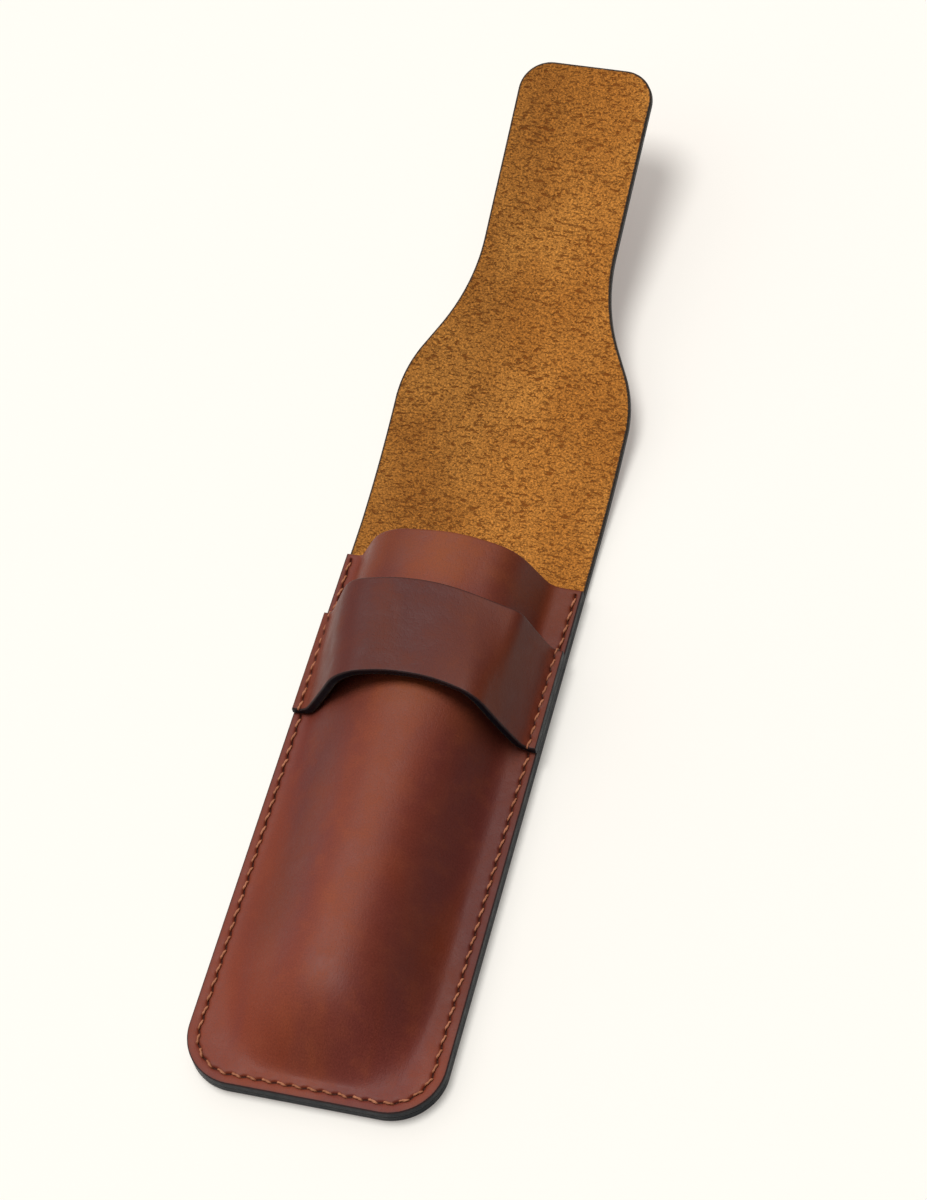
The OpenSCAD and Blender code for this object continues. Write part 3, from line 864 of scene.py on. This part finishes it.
def suede():
    m = Nodes("suede")
    at = m.attr("flat", True)
    big = m.noise(m.move(at, (1, 0.6, 1)), 0.035, 3, 0.5)
    nap = m.noise(m.move(at, (1.0, 1.3, 1), (0, 0, 0.5)), 1.75, 4, 0.75)
    weave = m.noise(m.move(at, (1.7, 1.0, 1), (0, 0, -0.7)), 1.3, 3, 0.7)
    drift = m.noise(at, 0.09, 4, 0.65)
    tuft = m.noise(m.move(at, (0.8, 1.7, 1), (0, 0, 0.2)), 0.62, 3, 0.65, 0.5)
    tuft_2 = m.noise(m.move(at, (0.8, 1.8, 1), (0, 0, -0.25), (31, 7, 3)), 1.0, 3, 0.65, 0.5)
    colour = m.mix(m.ramp(big, 0.35, 0.68), SUEDE_DARK, SUEDE_LIGHT)
    colour = m.mix(m.ramp(drift, 0.45, 0.78, 0, 0.3), colour, SUEDE_DRIFT)
    colour = m.shade(colour, m.ramp(nap, 0.34, 0.66, 0.5, 1.45))
    colour = m.shade(colour, m.ramp(weave, 0.32, 0.68, 0.72, 1.25))
    level = m.plus(tuft, m.times(m.ramp(drift, 0.35, 0.7), 0.05))
    fleck = m.math("MAXIMUM", m.ramp(level, 0.57, 0.66), m.ramp(tuft_2, 0.57, 0.67, 0, 0.9))
    colour = m.mix(m.times(fleck, 0.85), colour, SUEDE_FLECK)
    colour = m.shade(colour, m.attr("tone_and_painted_light"))
    rim = m.plus(m.attr("rim"), m.times(m.noise(at, 2.6, 4, 0.8), 0.75))
    colour = m.mix(m.ramp(rim, 0.72, 1.0, 1, 0), colour, PAINT_ON_SUEDE)
    relief = m.math("SUBTRACT", m.plus(nap, m.times(weave, 0.6)), m.times(fleck, 0.9))
    m.put(Base_Color=colour, Roughness=0.95, Specular_IOR_Level=0.15, Sheen_Weight=0.08,
          Sheen_Roughness=0.6, Sheen_Tint=(0.9, 0.6, 0.3, 1),
          Normal=m.bump(relief, 0.00022, 0.9))
    return m.mat


def edge_paint():
    m = Nodes("edge_paint")
    at = m.attr("flat", True)
    slow = m.noise(at, 0.35, 4, 0.6)
    fine = m.noise(at, 3.5, 4, 0.7)
    colour = m.mix(m.ramp(slow, 0.35, 0.7), PAINT_DARK, PAINT_LIGHT)
    colour = m.mix(m.ramp(fine, 0.66, 0.8, 0, 0.4), colour, PAINT_WORN)
    m.put(Base_Color=colour, Roughness=m.ramp(slow, 0.3, 0.7, 0.38, 0.52),
          Specular_IOR_Level=0.14, Normal=m.bump(m.plus(slow, m.times(fine, 0.4)), 0.00012, 0.7))
    return m.mat


def thread_look():
    m = Nodes("thread")
    at = m.attr("flat", True)
    slow = m.noise(at, 0.3, 2, 0.5)
    fibre = m.noise(m.move(at, (1, 1, 2)), 7.0, 4, 0.7)
    colour = m.mix(m.ramp(slow, 0.35, 0.7), THREAD_DARK, THREAD_LIGHT)
    colour = m.shade(colour, m.ramp(fibre, 0.3, 0.7, 0.65, 1.2))
    m.put(Base_Color=colour, Roughness=m.ramp(fibre, 0.3, 0.7, 0.5, 0.72),
          Specular_IOR_Level=0.35, Normal=m.bump(fibre, 0.00008, 0.8))
    return m.mat


def floor_look():
    m = Nodes("floor")
    place = m.add("ShaderNodeTexCoord").outputs["Object"]
    colour = m.mix(m.noise(place, 3.0, 2, 0.5), FLOOR_DARK, FLOOR_LIGHT)
    m.put(Base_Color=colour, Roughness=0.9, Specular_IOR_Level=0.1,
          Emission_Color=(1.0, 0.972, 0.908, 1), Emission_Strength=0.29)
    return m.mat


GRAIN, SUEDE, PAINTED, THREAD = grain_leather(), suede(), edge_paint(), thread_look()
grain_up = [GRAIN, SUEDE, PAINTED]
suede_up = [SUEDE, GRAIN, PAINTED]

front = front_panel(grain_up)
strap = tuck_strap(grain_up)
back = back_leather(suede_up)
bends = [fold_leather(i, suede_up) for i in range(FOLDS)]
flap = flap_leather(suede_up)
stitches = thread_piece([THREAD])

for piece, body, nodes, slot in (
    (back, "case", ("back_panel", "case_edge_paint"), "grain_leather"),
    (front, "case", ("front_panel", "mouth_edge_paint"), "grain_leather"),
    (strap, "case", ("tuck_strap", "strap_edge_paint"), "grain_leather"),
    (stitches, "case", ("seam_thread",), "thread"),
    (flap, "flap", ("flap", "flap_edge_paint"), "suede"),
):
    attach(piece, body)
    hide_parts(*nodes)

for i, piece in enumerate(bends):
    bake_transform(piece)
    if i < FOLDS - 1:
        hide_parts(f"flap_fold_{i + 1}", f"fold_edge_paint_{i + 1}")

# ---------------------------------------------------------------- floor, light, camera
# From here on lengths are metres
FLOOR_HALF = 3.0
FLOOR_DROP = 0.0002  # keeps the floor clear of the case's underside
SUN_ENERGY = 2.2
SUN_ANGLE = math.radians(26)
SUN_PLACE = (-0.2, 0.12, 0.97)
SUN_COLOUR = (1.0, 0.985, 0.96)
WORLD_COLOUR = (1.0, 0.97, 0.94, 1)
WORLD_TOWARD = (-0.62, 0.30, 0.72)  # the sky is brightest there
WORLD_DIM, WORLD_BRIGHT = 0.05, 0.85
CAMERA_TARGET = Vector((0.0005, 0.063, 0.0))
CAMERA_DISTANCE = 1.158
CAMERA_AZIMUTH = math.radians(29.75)
CAMERA_ELEVATION = math.radians(58.2)
CAMERA_ROLL = math.radians(-16.75)
CAMERA_LENS = 150

floor_mesh = bpy.data.meshes.new("floor")
floor_mesh.from_pydata([(x * FLOOR_HALF, y * FLOOR_HALF, 0)
                        for x, y in ((-1, -1), (1, -1), (1, 1), (-1, 1))], [], [(0, 1, 2, 3)])
floor_mesh.materials.append(floor_look())
floor = bpy.data.objects.new("floor", floor_mesh)
floor.location = (0, 0, -FLOOR_DROP)
bpy.context.scene.collection.objects.link(floor)

world = bpy.data.worlds.new("studio")
world.use_nodes = True
tree = world.node_tree
background = tree.nodes["Background"]
where = tree.nodes.new("ShaderNodeTexCoord").outputs["Generated"]
toward = tree.nodes.new("ShaderNodeVectorMath")
toward.operation = "DOT_PRODUCT"
toward.inputs[1].default_value = Vector(WORLD_TOWARD).normalized()
tree.links.new(where, toward.inputs[0])
glow = tree.nodes.new("ShaderNodeMapRange")
glow.interpolation_type = "SMOOTHSTEP"
for key, value in (("From Min", 0.15), ("From Max", 1.0), ("To Min", WORLD_DIM),
                   ("To Max", WORLD_BRIGHT)):
    glow.inputs[key].default_value = value
tree.links.new(toward.outputs["Value"], glow.inputs["Value"])
background.inputs[0].default_value = WORLD_COLOUR
tree.links.new(glow.outputs[0], background.inputs[1])
bpy.context.scene.world = world

sun = bpy.data.lights.new("key", "SUN")
sun.energy = SUN_ENERGY
sun.angle = SUN_ANGLE
sun.color = SUN_COLOUR
key_light = bpy.data.objects.new("key", sun)
key_light.location = SUN_PLACE
key_light.rotation_euler = (-Vector(SUN_PLACE)).to_track_quat("-Z", "Y").to_euler()
bpy.context.scene.collection.objects.link(key_light)

lens = bpy.data.cameras.new("camera")
lens.lens = CAMERA_LENS
lens.sensor_width = 36
lens.clip_start = 0.05
camera = bpy.data.objects.new("camera", lens)
turn = (Matrix.Rotation(CAMERA_AZIMUTH, 4, "Z")
        @ Matrix.Rotation(math.pi / 2 - CAMERA_ELEVATION, 4, "X")
        @ Matrix.Rotation(CAMERA_ROLL, 4, "Z"))
back_off = Matrix.Translation((0, 0, CAMERA_DISTANCE))
camera.matrix_world = Matrix.Translation(CAMERA_TARGET) @ turn @ back_off
bpy.context.scene.collection.objects.link(camera)
bpy.context.scene.camera = camera
bpy.context.scene.view_settings.view_transform = "Standard"
